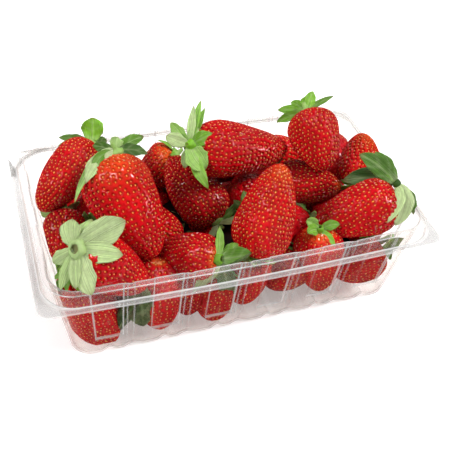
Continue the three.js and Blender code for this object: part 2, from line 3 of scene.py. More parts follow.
import bpy
import numpy as np
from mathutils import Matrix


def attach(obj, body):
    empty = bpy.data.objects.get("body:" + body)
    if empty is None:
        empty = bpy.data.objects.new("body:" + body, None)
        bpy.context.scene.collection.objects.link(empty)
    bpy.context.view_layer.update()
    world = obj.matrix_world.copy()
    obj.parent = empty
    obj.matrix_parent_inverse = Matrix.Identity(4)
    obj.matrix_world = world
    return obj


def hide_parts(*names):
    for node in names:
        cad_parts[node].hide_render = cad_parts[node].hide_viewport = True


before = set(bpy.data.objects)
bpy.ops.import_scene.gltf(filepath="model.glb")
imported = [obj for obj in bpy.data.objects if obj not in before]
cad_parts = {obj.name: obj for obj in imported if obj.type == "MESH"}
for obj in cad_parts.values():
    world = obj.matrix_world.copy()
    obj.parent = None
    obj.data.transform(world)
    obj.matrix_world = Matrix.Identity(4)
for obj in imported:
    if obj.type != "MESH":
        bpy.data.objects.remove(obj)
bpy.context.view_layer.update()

# A clear tray heaped with strawberries, worked out in millimetres on the frame's axes:
# x along the tray, y to its back, z up from the table. Shape.build turns them into metres.

MM = 0.001

# ---- tray sizes, mm

SHEET = 0.7
BASE_X, BASE_Y = 83.2, 46.2  # half sizes of the base
RIM_X, RIM_Y = 90.8, 50.2  # half sizes inside the walls, at the rim
FLANGE_X = 98.0  # half length of the flange
TRAY_HEIGHT = 52.5
FLANGE_HEIGHT = 46.0
CORNER = 9.0  # radius of the base's corners
ROUND_TAB = (-1, 1)  # the corner whose flange is rounder
ROUND_TAB_RADIUS = 21.0

PITCH, PITCH_SHORT = 26.8, 27.0  # from panel to panel on the long walls and on the ends
LONG_CENTRES = [(i - 2.5) * PITCH for i in range(6)]
SHORT_CENTRES = [(i - 1) * PITCH_SHORT for i in range(3)]
LAST_PANEL = LONG_CENTRES[-1]  # the one with no flute after it
PANEL_HALF = 6.3
PANEL_EDGE = 0.6
PANEL_DEPTH = 1.3
FLUTE_AT = 9.9
FLUTE_HALF = 1.6
FLUTE_DEPTH = 0.9
NOTCH_TOP_HALF = 1.2
NOTCH_FOOT_HALF = 2.4
NOTCH_HEIGHT = 3.2
ARCH_HEIGHT = 2.4
ARCH_END = 17.0
CHANNEL_FULL = 41.0  # the channels in the base are full height from this y out
CHANNEL_FADE = 34.0  # and gone by this one
WALL_GAP = 0.35
OVERHANG_FROM = 1.2  # how far above the rim fruit and leaves may start to reach over it
OVERHANG_SLOPE = 8.0

# Curves of [place, height] across a panel, a flute, a notch and the arch beside it.
PANEL_SHAPE = ((-PANEL_HALF - PANEL_EDGE, 0), (-PANEL_HALF, 1),
               (PANEL_HALF, 1), (PANEL_HALF + PANEL_EDGE, 0))
FLUTE_SHAPE = ((FLUTE_AT - FLUTE_HALF, 0), (FLUTE_AT, 1), (FLUTE_AT + FLUTE_HALF, 0))
NOTCH_SHAPE = ((-NOTCH_FOOT_HALF, 0), (-NOTCH_TOP_HALF, 1), (NOTCH_TOP_HALF, 1), (NOTCH_FOOT_HALF, 0))
ARCH_SHAPE = ((PANEL_HALF + PANEL_EDGE, 0), (FLUTE_AT, 1), (FLUTE_AT + FLUTE_HALF, 1), (ARCH_END, 0))

# Painted highlight lines down a wall, standing in for the glints along its creases: where, from the middle
# of a panel, and how whitish they are painted.
CREASE_HALF = 0.4
CREASE_AT = PANEL_HALF + PANEL_EDGE / 2
PANEL_CREASES = ((CREASE_AT, 1.0), (-CREASE_AT, 1.0))
FLUTE_CREASES = ((FLUTE_AT - FLUTE_HALF, 0.6), (FLUTE_AT + FLUTE_HALF, 0.6))

# Rows of the section from the base out to the flange's edge: half length, half width, bow of the long
# sides, corner radius, height, the shares of panel and flute, and how much of the sheet is painted
# over there: a whitish painted highlight where it folds, a painted grey on the flat flange.
SECTION = [
    (BASE_X - 3, BASE_Y - 3, 0, 6, 0.7, 0, 0, 0.03),
    (BASE_X - 1.2, BASE_Y - 1.2, 0, 7.8, 0.8, 0, 0, 0.08),
    (BASE_X, BASE_Y, 0, CORNER, 1.8, 0, 0, 0.06),
    (84, 46.7, 0.2, 9.2, 6.5, 0, 0.5, 0),
    (84.65, 47.05, 0.4, 9.5, 10.9, 0, 1, 0),
    (84.7, 47.1, 0.4, 9.5, 11.3, 0.3, 1, 0.05),
    (84.8, 47.15, 0.4, 9.5, 11.7, 0.9, 1, 0.55),
    (84.9, 47.2, 0.4, 9.5, 12.1, 1, 1, 0),
    (86.4, 48, 0.8, 10.2, 22.5, 0.85, 1, 0),
    (87.9, 48.75, 1.2, 10.8, 32.5, 0.7, 1, 0),
    (89.4, 49.5, 1.6, 11.4, 42.5, 0.55, 1, 0),
    (90.5, 50.1, 2, 11.9, 50.9, 0.4, 1, 0),
    (RIM_X, 50.35, 2, 12.1, 52, 0.38, 0.95, 0.1),
    (91.2, 50.7, 2, 12.4, TRAY_HEIGHT, 0.3, 0.8, 0.4),
    (91.9, 51.5, 2, 12.9, TRAY_HEIGHT, 0.1, 0.3, 0.07),
    (93.5, 53.2, 2, 14, TRAY_HEIGHT, 0, 0, 0.07),
    (93.9, 53.6, 2, 14.2, 52.4, 0, 0, 0.4),
    (94.25, 54, 2, 14.6, 52.05, 0, 0, 0.05),
    (94.37, 54.14, 2, 14.7, 51.2, 0, 0, 0.02),
    (94.6, 54.5, 2, 15, 49, 0, 0, 0.04),
    (94.84, 54.82, 2, 15.4, 46.8, 0, 0, 0.02),
    (94.9, 54.9, 2, 15.5, 46.35, 0, 0, 0.95),
    (95.2, 55.1, 2, 15, FLANGE_HEIGHT, 0, 0, 0.4),
    (95.7, 55.5, 2, 12, FLANGE_HEIGHT, 0, 0, 0.34),
    (97.5, 56.95, 2, 5.6, FLANGE_HEIGHT, 0, 0, 0.34),
    (97.8, 57.2, 2, 5.2, FLANGE_HEIGHT, 0, 0, 0.25),
    (FLANGE_X, 57.4, 2, 5, 45.8, 0, 0, 0.45),
]
RAISED_SHARES = (1.0, 1.0, 0.75, 0.1)  # how far the first rows follow the notches and arches
PANEL_FOOT_ROWS = range(4, 8)  # where a row's painted fold highlight runs along the panels alone
CREASE_ROWS = range(6, 13)  # where the painted highlight lines run down the wall
RIM_ROW = 12  # the first row of the rolled rim
COLLAR_ROW = 13  # rows from here on are the collar and the flange
FLANGE_ROW = 23  # the first row of the flat flange
FLAT_FLANGE_ROWS = (23, 24)
BASE_PAINTED_SHEEN = 0.03  # how whitish the base is painted, a painted sheen
PAINTED_HIGHLIGHT_TONE = 0.8  # how light the painted highlights on the folds and base are
# The flat flange is painted grey, standing in for the floor seen dimmed through the clear sheet.
FLANGE_PAINTED_GREY = 0.45

# ---- the fruit, mm
# calyx and tip are the ends of a berry, width its greatest, blunt how round its tip is, gap
# how far apart its seeds are, deep how dark a red it is, pale how far the unripe shoulder
# reaches. patch is an orange side: its direction, where it is from calyx (0) to
# tip (1), and its reach. crown is where the calyx sits if not square on the end, and which
# way it faces. hub is the radius of the calyx's middle, hub_tone its tone, and stalk how
# long a stub is left, where 0 is a hollow that the stalk came out of.
# A leaf is (tip, width, bow, show, tone): its tip, its width, how far it arches away from
# the berry, how far its face is turned to the front (0 to 1), and dark (0) to pale (1), the dark end partly
# painted shade for leaves in shadow.
# A berry without a list of leaves gets a plain ring of them.

USUAL = dict(blunt=1.7, gap=2.75, deep=0.25, pale=0.35, patch=None, crown=None, hub=3.4, hub_tone=0.7,
             stalk=3, leaves=None)


def fruit(calyx, tip, width, **details):
    """A berry's values: its own, and the usual ones for the rest."""
    return USUAL | dict(calyx=calyx, tip=tip, width=width) | details


LEFT = dict(
    left_back=fruit((-57, 35, 62), (-88, 5, 50), 24, gap=2.5, leaves=[
        ((-55, 43, 72), 11, 1, 1, 0.5), ((-72, 46, 60), 5, 2, 0.9, 0.15), ((-73, 42, 58), 5, 2, 0.8, 0.25),
        ((-49, 38, 60), 5, 1, 0.8, 0.12)]),
    left_tall=fruit((-58, 5, 76), (-41, -31, 43), 33, blunt=1.35, gap=3, pale=0.55,
        crown=((-51, 5, 79), (-0.3, 0.4, 0.9)), patch=((0.2, -0.3, 0.9), 0, 0.25), leaves=[
        ((-36, 13, 79), 6, 2, 0.9, 0.25), ((-36, 5, 75), 6, 3, 0.9, 0.08), ((-60, 15, 76), 5, 1, 0.8, 0.12),
        ((-49, 10, 83), 6, 1, 1, 0.75), ((-58, -2, 80), 7, 2, 0.9, 0.97), ((-68, -11, 76), 7, 6, 0.9, 0.9),
        ((-65, -8, 76), 4, 8, 0.9, 0.3), ((-74, -14, 68), 4, 9, 0.8, 0.7)]),
    left_small=fruit((-76, 7, 46), (-81, -19, 35), 20, gap=2.6, deep=0.5, leaves=[
        ((-88, 12, 42), 9, 1, 0.8, 0.7), ((-67, 13, 42), 5, 1, 0.5, 0.3)]),
    front_left=fruit((-78, -39, 66), (-48, -39, 34), 27, gap=3, pale=0.75,
        crown=((-78, -42, 68), (-0.72, -0.38, 0.58)), hub=4.2, stalk=0, hub_tone=0.85, leaves=[
        ((-56, -36, 74), 12, 2, 1, 0.93), ((-60, -49, 67), 9, 2, 1, 0.9), ((-75, -57, 55), 10, 2, 1, 0.95),
        ((-87, -52, 56), 5, 2, 0.9, 0.85), ((-81, -54, 57), 5, 2, 0.9, 0.9),
        ((-88, -42, 62), 6, 2, 0.8, 0.9), ((-77, -28, 72), 9, 4, 0.9, 0.9),
        ((-69, -30, 72), 7, 2, 0.9, 0.8)]),
    under_tall=fruit((-46, 6, 37), (-22, -12, 34), 24),
    front_middle=fruit((-15, -44, 48), (-37, -18, 33), 23, blunt=1.6, deep=0.4, pale=0.6, stalk=0, hub=2.6,
        hub_tone=0.35, leaves=[
        ((-12, -34, 59), 4, 1, 1, 0.6), ((-1, -49, 53), 9, 2, 1, 0.2), ((-27, -47, 31), 7, 3, 0.9, 0.9),
        ((-8, -47, 15), 9, 5, 1, 0.08), ((-4, -38, 50), 6, 2, 0.9, 0.3)]),
)
MIDDLE = dict(
    back_small=fruit((-12, 37, 46), (-31, 37, 31), 25, blunt=1.8, patch=((0.3, -0.4, 0.9), 0.1, 0.3)),
    middle=fruit((-3, -9, 36), (-18, 29, 51), 27, blunt=1.8, deep=0.5, leaves=[
        ((4, -19, 48), 4, 1, 0.6, 0.3), ((-14, -22, 35), 5, 1, 0.6, 0.2), ((9, -4, 44), 5, 1, 0.5, 0.2)]),
    top_middle=fruit((-14, 9, 71), (39, 11, 61), 30, blunt=1.35, gap=2.7, pale=0.5,
        crown=((-15, 7, 75), (-0.62, -0.5, 0.6)), hub_tone=0.5, leaves=[
        ((-5, 24, 88), 4, 1, 1, 0.55), ((-9, 22, 87), 4, 1, 1, 0.85), ((-3, 23, 84), 4, 1, 1, 0.45),
        ((-9, 14, 80), 5, 2, 1, 0.8), ((-21, 20, 80), 6, 2, 1, 0.62), ((-25, 14, 77), 7, 2, 1, 0.9),
        ((-4, 6, 81), 7, 2, 1, 0.35), ((-10, -4, 68), 11, 4, 1, 0.65), ((-10, -10, 61), 6, 5, 1, 0.55),
        ((-19, 0, 67), 5, 2, 1, 0.8)]),
    front_upright=fruit((6, -38, 37), (24, -16, 75), 30, blunt=1.4, gap=2.5,
        patch=((-0.1, -0.7, 0.7), 1, 0.14)),
)
RIGHT = dict(
    top_right=fruit((52, 21, 76), (53, -8, 59), 27, blunt=1.6, gap=2.6, leaves=[
        ((40, 30, 72), 5, 1, 0.9, 0.35), ((38, 25, 68), 5, 1, 0.9, 0.3), ((47, 30, 76), 5, 1, 0.9, 0.4),
        ((54, 29, 79), 5, 1, 0.9, 0.5), ((58, 29, 82), 6, 0, 1, 0.5), ((68, 24, 81), 3, 1, 0.8, 0.25),
        ((68, 14, 72), 4, 2, 0.6, 0.1)]),
    right_back=fruit((72, -12, 49), (85, 14, 61), 24, blunt=1.5, gap=2.6, deep=0.1,
        patch=((0.3, -0.3, 0.9), 1, 0.3)),
    right_middle=fruit((34, 9, 44), (64, -9, 47), 23, gap=2.6, deep=0.4, patch=((0.7, -0.4, 0.5), 1, 0.1)),
    back_dark=fruit((43, 42, 34), (57, 24, 42), 24, deep=0.1),
    right_front=fruit((82, -33, 57), (42, -27, 41), 28, blunt=1.5, gap=2.8,
        crown=((82, -29, 62), (0.85, 0.1, 0.5)), hub=1.8, stalk=0, hub_tone=0.05, leaves=[
        ((58, -18, 60), 11, 7, 0.9, 0.03), ((67, -13, 71), 10, 3, 0.9, 0.12),
        ((75, -14, 72), 7, 2, 0.9, 0.2), ((75, -46, 51), 11, 8, 1, 0.95), ((69, -47, 55), 6, 9, 0.9, 0.9),
        ((88, -41, 51), 6, 4, 0.9, 0.2)]),
)
WINDOW = dict(
    corner_low=fruit((-80, -33, 44), (-65, -41, 0), 29, deep=0.15),
    window_one=fruit((-40, -33, 42), (-41, -42, 4), 25, blunt=1.8, gap=2.9, deep=0.1,
        crown=((-51, -42, 40), (-0.3, -0.9, 0.3)), leaves=[
        ((-50, -47, 12), 12, 4, 1, 0.08), ((-61, -47, 13), 10, 3, 1, 0.02)]),
    window_two=fruit((-25, -30, 42), (-27, -40, 8), 23, blunt=1.8, deep=0.6),
    window_three=fruit((-11, -34, 32), (-14, -42, 2), 24, blunt=1.8, deep=0.3),
    window_four=fruit((34, -34, 27), (14, -38, 16), 25, blunt=1.8, deep=0.6),
    window_five=fruit((40, -35, 46), (44, -42, 9), 26, blunt=1.8, deep=0.1, pale=0.8, stalk=0, hub=2.4,
        hub_tone=0.4, leaves=[
        ((31, -40, 50), 6, 2, 0.9, 0.4), ((49, -38, 50), 5, 2, 0.9, 0.35), ((44, -46, 44), 4, 2, 0.9, 0.5),
        ((33, -33, 51), 6, 2, 0.9, 0.6)]),
    window_six=fruit((80, -36, 23), (52, -40, 16), 25, pale=0.5, leaves=[
        ((85, -44, 38), 6, 2, 0.8, 0.3), ((86, -45, 22), 6, 2, 0.8, 0.2),
        ((76, -45, 44), 5, 2, 0.8, 0.45)]),
    window_seven=fruit((6, -31, 38), (1, -40, 8), 24, blunt=1.8, deep=0.3),
)
UNDER = dict(
    under_one=fruit((-64, 1, 37), (-47, 35, 34), 27),
    under_two=fruit((-1, 30, 46), (32, 42, 32), 28),
    under_three=fruit((76, 40, 42), (69, 5, 31), 27),
    under_four=fruit((14, -9, 40), (26, 26, 32), 26),
    under_five=fruit((46, -14, 34), (10, -21, 24), 24),
    under_six=fruit((-46, -30, 25), (-65, -5, 41), 23),
    under_seven=fruit((73, -33, 27), (79, 3, 36), 22),
    under_eight=fruit((60, -20, 28), (66, 14, 34), 24),
)

# The mesh steps: fine where the fruit shows, medium behind the wall, coarse where it is buried.
FINE, MEDIUM, COARSE = 0.5, 0.8, 1.3
GROUPS = {"left": (LEFT, FINE), "middle": (MIDDLE, FINE), "right": (RIGHT, FINE),
          "window": (WINDOW, MEDIUM), "under": (UNDER, COARSE)}

# Rows of fruit on the base: y, and how far in degrees the berries turn from the x axis.
FLOOR_ROWS = ((2.0, 12.0), (32.0, -14.0))
FLOOR_COUNT = 5
FLOOR_PITCH = 33.5
FLOOR_HALF = 19
FLOOR_HEIGHT = 17.0
FLOOR_WIDTH = 26

FRONT = np.array((-0.3, -0.68, 0.67))  # the side of the heap that its leaves are set out for

# ---- helpers


def unit(v):
    v = np.asarray(v, float)
    return v / max(1e-9, float(np.linalg.norm(v)))


def frame_around(direction):
    """A right-handed frame: two side vectors and the direction."""
    up = unit(direction)
    side = np.cross((0.0, 0.0, 1.0), up)
    if np.linalg.norm(side) < 0.15:
        side = np.cross((1.0, 0.0, 0.0), up)
    side = unit(side)
    return side, np.cross(up, side), up


def press_inside(points, gap=WALL_GAP):
    """Keeps points inside the tray; above the rim they may lean out."""
    p = np.array(points, float)
    share = np.clip((p[:, 2] - SHEET) / (TRAY_HEIGHT - SHEET), 0, 1)
    inset = PANEL_DEPTH + gap - OVERHANG_SLOPE * np.maximum(0, p[:, 2] - TRAY_HEIGHT - OVERHANG_FROM)
    base, rim = np.array((BASE_X, BASE_Y)), np.array((RIM_X, RIM_Y))
    half = base + share[:, None] * (rim - base) - inset[:, None]
    over = np.abs(p[:, :2]) - (half - CORNER)
    length = np.linalg.norm(over, axis=1)
    corner = (over > 0).all(axis=1) & (length > CORNER)
    over[corner] *= (CORNER / length[corner])[:, None]
    p[:, :2] = np.sign(p[:, :2]) * (half - CORNER + np.minimum(over, CORNER))
    p[:, 2] = np.maximum(p[:, 2], SHEET + NOTCH_HEIGHT + WALL_GAP)
    return p


def add_object(name, data):
    obj = bpy.data.objects.new(name, data)
    bpy.context.scene.collection.objects.link(obj)
    return obj


class Shape:
    """Vertices, faces, and one colour and one relief value a vertex, for one object."""

    def __init__(self):
        self.points, self.faces, self.colours, self.reliefs, self.count = [], [], [], [], 0

    def add(self, points, faces, colours, reliefs=None):
        self.points.append(np.asarray(points, np.float64))
        self.faces.append(np.asarray(faces, np.int64) + self.count)
        self.colours.append(np.asarray(colours, np.float64))
        self.reliefs.append(np.ones(len(points)) if reliefs is None else np.asarray(reliefs, np.float64))
        self.count += len(points)

    def build(self, name, material):
        points, faces = np.concatenate(self.points) * MM, np.concatenate(self.faces)
        mesh = bpy.data.meshes.new(name)
        mesh.from_pydata(points, [], faces.tolist(), shade_flat=False)
        mesh.validate()
        rgba = np.ones((len(points), 4), np.float32)
        rgba[:, :3] = np.concatenate(self.colours)
        mesh.attributes.new("tint", "FLOAT_COLOR", "POINT").data.foreach_set("color", rgba.ravel())
        relief = np.concatenate(self.reliefs).astype(np.float32)
        mesh.attributes.new("relief", "FLOAT", "POINT").data.foreach_set("value", relief)
        mesh.materials.append(material)
        return add_object(name, mesh)


def zipper(a, b):
    """Triangles between two closed rings of vertex numbers that start at the same angle."""
    faces = []
    i = j = 0
    na, nb = len(a), len(b)
    while i < na or j < nb:
        if j >= nb or (i < na and (i + 1) * nb <= (j + 1) * na):
            faces.append((a[i % na], a[(i + 1) % na], b[j % nb]))
            i += 1
        else:
            faces.append((a[i % na], b[(j + 1) % nb], b[j % nb]))
            j += 1
    return faces


# ---- berries

RED = np.array((0.68, 0.002, 0.006))
DEEP = np.array((0.28, 0.001, 0.005))
ORANGE = np.array((0.92, 0.13, 0.012))
PALE = np.array((0.86, 0.56, 0.26))
SEED_YELLOW = np.array((0.86, 0.42, 0.06))
SEED_RED = np.array((0.78, 0.16, 0.015))
SHOULDER = 0.3  # the widest place, as a share of the length from the calyx
FIRST_ROW = 2.6  # along the skin to the first row of seeds
ROW_SHARE = 0.87  # of the gap between seeds, from row to row
NEAR_TIP = 0.75  # past this share of the skin's length the seeds are closer
TIP_SHARE = 0.85  # by this much
SEED_LONG, SEED_WIDE, SEED_HIGH = 0.56, 0.34, 0.31
RIDGE = 0.26  # how far the skin stands up between its seeds
PIT = 0.28  # how far each seed sits in
PIT_REACH = 0.85
DIP = 1.2  # how far the end under the calyx sinks in
DIP_REACH = 0.22  # out to this share of the berry's half width
AT_ONCE = 1500  # vertices compared with the seeds at a time

# Rings of a seed, as its height and its share of the full size.
FULL_SEED = (6, ((0.0, 1.0), (0.20, 0.74)))
PLAIN_SEED = (5, ((0.0, 1.0),))


class Berry:
    """The skin of a berry: places and normals at s, along the skin from the calyx, and an angle round it."""

    def __init__(self, spec, rng):
        self.base = np.array(spec["calyx"], float)
        axis = np.array(spec["tip"], float) - self.base
        self.length = float(np.linalg.norm(axis))
        self.side, self.other, self.along = frame_around(axis)
        self.half = spec["width"] / 2
        # Distance along the skin, place along the axis, and radius, calyx to tip.
        t = (1 - np.cos(np.linspace(0, pi, 600))) / 2
        near = 1 - np.clip(t / SHOULDER, 0, 1)
        far = np.clip((t - SHOULDER) / (1 - SHOULDER), 0, 1)
        fullness = 1 - np.where(t < SHOULDER, near ** 2.2, far ** spec["blunt"])
        self.radial = np.sqrt(np.maximum(0, fullness)) * self.half
        self.axial = t * self.length
        self.arc = np.concatenate([[0], np.cumsum(np.hypot(np.diff(self.radial), np.diff(self.axial)))])
        self.total = self.arc[-1]
        self.phase = rng.uniform(0, 2 * pi, 4)
        self.flat = 0.93 + 0.07 * rng.random()
        self.bend = rng.uniform(-0.7, 0.7, 2)

    def radius(self, s):
        return float(np.interp(s, self.arc, self.radial))

    def place(self, s, angle):
        z = np.interp(s, self.arc, self.axial)
        t = z / self.length
        lump = 1 + 0.022 * np.sin(2 * angle + self.phase[0]) * (1 - t)
        lump = lump + 0.016 * np.sin(3 * angle + 5 * t + self.phase[1])
        lump = lump + 0.012 * np.sin(9 * t + angle + self.phase[2])
        r = np.interp(s, self.arc, self.radial) * lump
        x = r * np.cos(angle) + self.bend[0] * 4 * t * (1 - t)
        y = r * np.sin(angle) * self.flat + self.bend[1] * 4 * t * (1 - t)
        return self.base + x[:, None] * self.side + y[:, None] * self.other + z[:, None] * self.along

    def normal(self, s, angle):
        lo, hi = np.maximum(s - 0.3, 0), np.minimum(s + 0.3, self.total)
        dz = np.interp(hi, self.arc, self.axial) - np.interp(lo, self.arc, self.axial)
        dr = np.interp(hi, self.arc, self.radial) - np.interp(lo, self.arc, self.radial)
        out = np.cos(angle)[:, None] * self.side + np.sin(angle)[:, None] * self.other
        n = dz[:, None] * out - dr[:, None] * self.along
        return n / np.linalg.norm(n, axis=1)[:, None]


def seed_rows(form, gap, rng):
    """Where the seeds are: rows round the berry, each row half a step on from the last."""
    distances, angles = [], []
    row, k = FIRST_ROW, 0
    while row < form.total - 0.7:
        closer = 1.0 if row < form.total * NEAR_TIP else TIP_SHARE
        n = max(3, int(round(2 * pi * form.radius(row) / (gap * closer))))
        turns = (np.arange(n) + 0.5 * (k % 2) + 0.13 * k) / n * 2 * pi
        turns += rng.normal(0, 0.14, n) * 2 * pi / n
        distances.append(row + rng.normal(0, 0.3, n))
        angles.append(turns)
        row += gap * ROW_SHARE * closer
        k += 1
    return np.clip(np.concatenate(distances), 0.5, form.total - 0.3), np.concatenate(angles)


def skin_grid(form, step):
    """The skin's vertices as distances and angles, ring by ring, and the faces between them."""
    rings, distances, angles = [], [0.0], [0.0]
    count = 1
    rows = max(8, int(round(form.total / step)))
    for i in range(1, rows):
        s = form.total * i / rows
        n = max(6, int(round(2 * pi * form.radius(s) / step)))
        rings.append(list(range(count, count + n)))
        distances.extend([s] * n)
        angles.extend((np.arange(n) / n * 2 * pi).tolist())
        count += n
    first, last = rings[0], rings[-1]
    faces = [(0, first[(i + 1) % len(first)], first[i]) for i in range(len(first))]
    for upper, lower in zip(rings, rings[1:]):
        faces.extend(zipper(upper, lower))
    faces.extend((count, last[i], last[(i + 1) % len(last)]) for i in range(len(last)))
    return np.array(distances + [form.total]), np.array(angles + [0.0]), faces


def seed_relief(points, seed_at, gap):
    """How far the skin lies below its ridges at each point, and how far off the nearest seed is."""
    lift, nearest = np.zeros((2, len(points)))
    for lo in range(0, len(points), AT_ONCE):
        part = slice(lo, lo + AT_ONCE)
        rel = points[part, None, :] - seed_at[None, :, :]
        two = np.partition(np.sqrt(np.einsum("vsk,vsk->vs", rel, rel)), 1, axis=1)[:, :2]
        ease = np.clip((two[:, 1] - two[:, 0]) / (gap * 0.95), 0, 1)
        pit = np.exp(-(two[:, 0] / PIT_REACH) ** 2)
        lift[part] = -RIDGE * ease * ease * (3 - 2 * ease) - PIT * pit
        nearest[part] = two[:, 0]
    return lift, nearest


def skin_colour(form, spec, s, angle, normals):
    """Red, deeper in places, paler on the shoulder, and orange on a patch that faces a given way."""
    t = s / form.total
    unripe = np.clip(1 - s / (form.half * spec["pale"]), 0, 1)
    wobble = 0.5 + 0.5 * np.sin(3 * angle + form.phase[3]) * np.sin(7 * t + form.phase[0])
    colour = RED + (DEEP - RED) * np.clip(spec["deep"] + 0.3 * wobble, 0, 1)[:, None]
    colour = colour + (ORANGE - colour) * (np.clip(1.6 * unripe, 0, 1) * 0.8)[:, None]
    colour = colour + (PALE - colour) * (np.clip(unripe - 0.55, 0, 1) * 1.4)[:, None]
    if spec["patch"]:
        direction, centre, reach = spec["patch"]
        side_on = np.clip(normals @ unit(direction), 0, 1) ** 2
        facing = side_on * np.exp(-((t - centre) / reach) ** 2)
        colour = colour + (ORANGE - colour) * (0.9 * facing)[:, None]
    return colour


def add_seeds(shape, form, s, angle, is_full, rng):
    """Every seed is a low drop, pointed toward the calyx."""
    sides, layers = FULL_SEED if is_full else PLAIN_SEED
    up = form.normal(s, angle)
    quarter = angle + pi / 2
    side = np.cos(quarter)[:, None] * form.side + np.sin(quarter)[:, None] * form.other
    along = np.cross(up, side)
    turn = np.arange(sides) / sides * 2 * pi
    grow = (0.8 + 0.4 * rng.random(len(s)))[:, None, None]
    centre = (form.place(s, angle) - up * (RIDGE + PIT * 0.85))[:, None, :]
    rows = []
    for height, share in layers:
        x = SEED_LONG * share * np.cos(turn) * (1 - 0.2 * np.cos(turn))
        y = SEED_WIDE * share * np.sin(turn)
        flat = x[None, :, None] * along[:, None, :] + y[None, :, None] * side[:, None, :]
        rows.append(centre + grow * (flat + height * up[:, None, :]))
    rows.append(centre + grow * SEED_HIGH * up[:, None, :])
    points = np.concatenate(rows, 1)
    apex = len(layers) * sides
    pattern = []
    for i in range(sides):
        j = (i + 1) % sides
        for low in range(0, apex - sides, sides):
            pattern += [(low + i, low + j, low + sides + j), (low + i, low + sides + j, low + sides + i)]
        pattern.append((apex - sides + i, apex - sides + j, apex))
    faces = (np.array(pattern)[None] + np.arange(len(s))[:, None, None] * (apex + 1)).reshape(-1, 3)
    warm = rng.random(len(s))[:, None]
    tone = SEED_YELLOW * (1 - warm) + SEED_RED * warm
    shape.add(press_inside(points.reshape(-1, 3), WALL_GAP - 0.15), faces, np.repeat(tone, apex + 1, 0))


def add_berry(skin, seeds, spec, step, rng):
    form = Berry(spec, rng)
    seed_s, seed_angle = seed_rows(form, spec["gap"], rng)
    s, angle, faces = skin_grid(form, step)
    points, normals = form.place(s, angle), form.normal(s, angle)
    lift, nearest = seed_relief(points, form.place(seed_s, seed_angle), spec["gap"])
    lift -= DIP * np.exp(-(s / max(form.half, 1) / DIP_REACH) ** 2)
    colour = skin_colour(form, spec, s, angle, normals)
    skin.add(press_inside(points + lift[:, None] * normals), faces, colour, nearest)
    add_seeds(seeds, form, seed_s, seed_angle, step < COARSE, rng)


# ---- leaves

# The dark end is a dark green, made darker still as painted shade for leaves and calyx middles that lie in
# shadow.
LEAF_DARK_AND_SHADED = np.array((0.012, 0.048, 0.006))
LEAF_GREEN = np.array((0.19, 0.44, 0.02))
LEAF_PALE = np.array((0.44, 0.52, 0.27))
LEAF_BROWN = np.array((0.16, 0.07, 0.025))
LEAF_THICKNESS = 0.42
LEAF_ROOT = 1.5  # leaves start this far from the middle of a calyx
FULL_SHOW = 0.75  # from here on the upper face of a leaf is the one that shows
LEAF_GRID = (20, 12)  # steps along a leaf and across it
HIDDEN_GRID = (9, 4)
RING_LEAVES = 9  # in a plain ring
OUTLINE_AT = (0, 0.12, 0.3, 0.5, 0.7, 0.85, 0.95, 1)
POINTED = np.array((0.42, 0.68, 0.95, 1.05, 0.84, 0.48, 0.19, 0.02))
ROUNDED = np.array((0.36, 0.60, 0.86, 1.03, 1.08, 0.88, 0.50, 0.06))


def leaf_tone(tone):
    """From dark (0), partly painted shade for leaves in shadow, through fresh green (0.5) to the pale
    underside (1).
    """
    if tone < 0.5:
        return LEAF_DARK_AND_SHADED + (LEAF_GREEN - LEAF_DARK_AND_SHADED) * 2 * tone
    return LEAF_GREEN + (LEAF_PALE - LEAF_GREEN) * (2 * tone - 1)


def leaf_spine(at, up, data, s):
    """The middle line of a leaf and, along it, which way it runs and which way it faces."""
    tip, _, bow, show, _ = data
    root = at + LEAF_ROOT * unit(tip - at)
    middle = (root + tip) / 2 + bow * up
    one = s[:, None]
    spine = (1 - one) ** 2 * root + 2 * one * (1 - one) * middle + one ** 2 * tip
    along = 2 * (1 - one) * (middle - root) + 2 * one * (tip - middle)
    along /= np.linalg.norm(along, axis=1)[:, None]
    facing = up - (along @ up)[:, None] * along
    front = FRONT - (along @ FRONT)[:, None] * along
    if show < FULL_SHOW and (facing * front).sum() < 0:
        front = -front
    normal = (1 - show) * facing + show * front
    normal /= np.linalg.norm(normal, axis=1)[:, None]
    return spine, along, normal


def leaf_faces(index):
    """Both faces of a blade, the second set of vertices being the lower one, and its edge."""
    count = index.size
    a, b, c, d = index[:-1, :-1], index[1:, :-1], index[1:, 1:], index[:-1, 1:]
    top = np.concatenate([np.stack([a, b, c], -1).reshape(-1, 3), np.stack([a, c, d], -1).reshape(-1, 3)])
    loop = np.concatenate([index[:, 0], index[-1, 1:], index[-2::-1, -1], index[0, -2:0:-1]])
    following = np.roll(loop, -1)
    return np.concatenate([top, top[:, ::-1] + count, np.stack([loop, loop + count, following + count], -1),
                           np.stack([loop, following + count, following], -1)])


def leaf_colours(tone, s, v, phase, rng):
    """A paler midrib and side veins, fine streaks along the blade, a pale underside, a brown tip."""
    midrib = np.exp(-(v / 0.10) ** 2)[None, :]
    veins = (0.5 + 0.5 * np.cos(18 * s[:, None] - 5 * np.abs(v)[None, :] + phase)) ** 4
    streak = rng.uniform(-1, 1, len(v))[None, :] + 0.4 * rng.uniform(-1, 1, (len(s), len(v)))
    shade = leaf_tone(tone) * (0.9 + 0.2 * rng.random())
    pale = np.clip(0.40 * midrib + 0.22 * veins + 0.5 * np.clip(1 - s * 4, 0, 1)[:, None], 0, 1)
    face = shade * (1 + 0.16 * streak)[..., None]
    face = face + (LEAF_PALE - face) * (pale * 0.7)[..., None]
    brown = np.clip((s - 0.88) / 0.12, 0, 1)[:, None, None] * rng.uniform(0.1, 0.8)
    face = face + (LEAF_BROWN - face) * brown
    back = face + (LEAF_PALE * (1 + 0.1 * streak)[..., None] - face) * 0.6
    return np.clip(np.concatenate([face.reshape(-1, 3), back.reshape(-1, 3)]), 0.002, 1)


